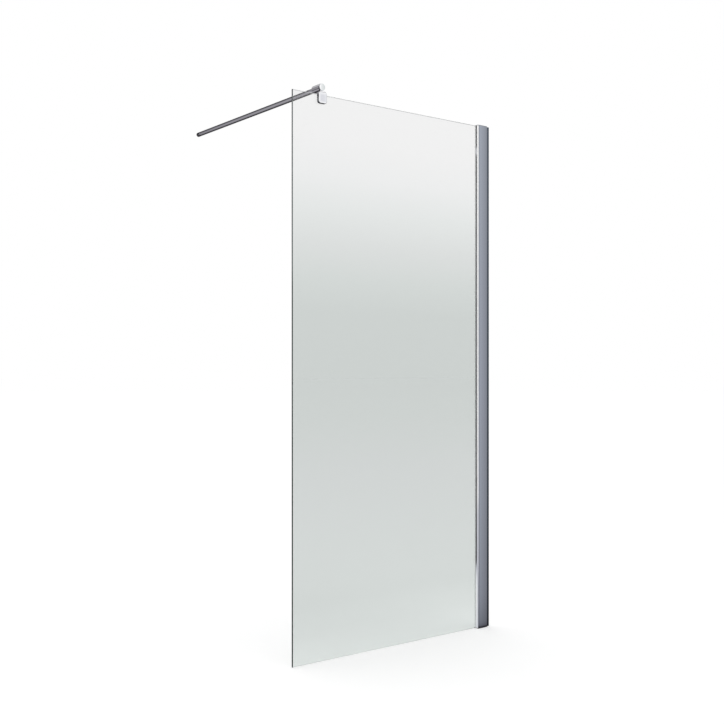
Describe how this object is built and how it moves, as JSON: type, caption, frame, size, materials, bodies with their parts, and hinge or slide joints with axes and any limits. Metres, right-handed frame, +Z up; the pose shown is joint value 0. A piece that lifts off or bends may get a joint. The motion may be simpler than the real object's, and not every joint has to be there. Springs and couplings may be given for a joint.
{
  "type": "walk-in shower screen",
  "caption": "Clear glass walk-in shower screen in an adjustable wall profile, braced at the top by a round bar in a glass clamp to the side wall.",
  "frame": {"origin": "on the wall that carries the profile, level with the foot of the glass, in the middle of the glass thickness", "axes": "+X into that wall, +Y into the shower along the support bar, +Z up"},
  "size_m": [0.89, 0.8716, 1.9385],
  "materials": {
    "glass": "clear float glass with polished edges",
    "profile_metal": "bright polished",
    "channel_metal": "bright polished",
    "clamp_metal": "mirror",
    "bar_metal": "mirror",
    "cap_plastic": "satin",
    "seal": "smooth",
    "packer": "matt",
    "screw_steel": "bright",
    "cover_plastic": "chromed",
    "pad": "smooth",
    "gasket": "smooth"
  },
  "bodies": {
    "channel": {"wall_channel": "channel_metal"},
    "screen": {"glass_profile": "profile_metal", "profile_top_cap": "cap_plastic", "profile_bottom_cap": "cap_plastic", "glass_panel": "glass", "front_glazing_seal": "seal", "rear_glazing_seal": "seal", "edge_packers": "packer", "adjusting_screws": "screw_steel", "sliding_nuts": "screw_steel", "screw_covers": "cover_plastic"},
    "clamp": {"clamp_body": "clamp_metal", "barrel_cap": "clamp_metal", "front_clamp_pad": "pad", "rear_clamp_pad": "pad", "pressure_plate": "screw_steel", "clamp_screw": "screw_steel", "bar_set_screw": "screw_steel"},
    "bar": {"support_bar": "bar_metal", "wall_spigot": "bar_metal", "spigot_set_screw": "screw_steel", "wall_gasket": "gasket"}
  },
  "joints": [
    {"name": "width_adjust", "type": "slide", "parent": "channel", "child": "screen", "axis": [-1, 0, 0], "range_m": [-0.01, 0.01]},
    {"name": "clamp_slide", "type": "slide", "parent": "screen", "child": "clamp", "axis": [1, 0, 0], "range_m": [-0.08, 0.6]},
    {"name": "bar_slide", "type": "slide", "parent": "clamp", "child": "bar", "axis": [0, 1, 0], "range_m": [-0.0075, 0.008]}
  ]
}
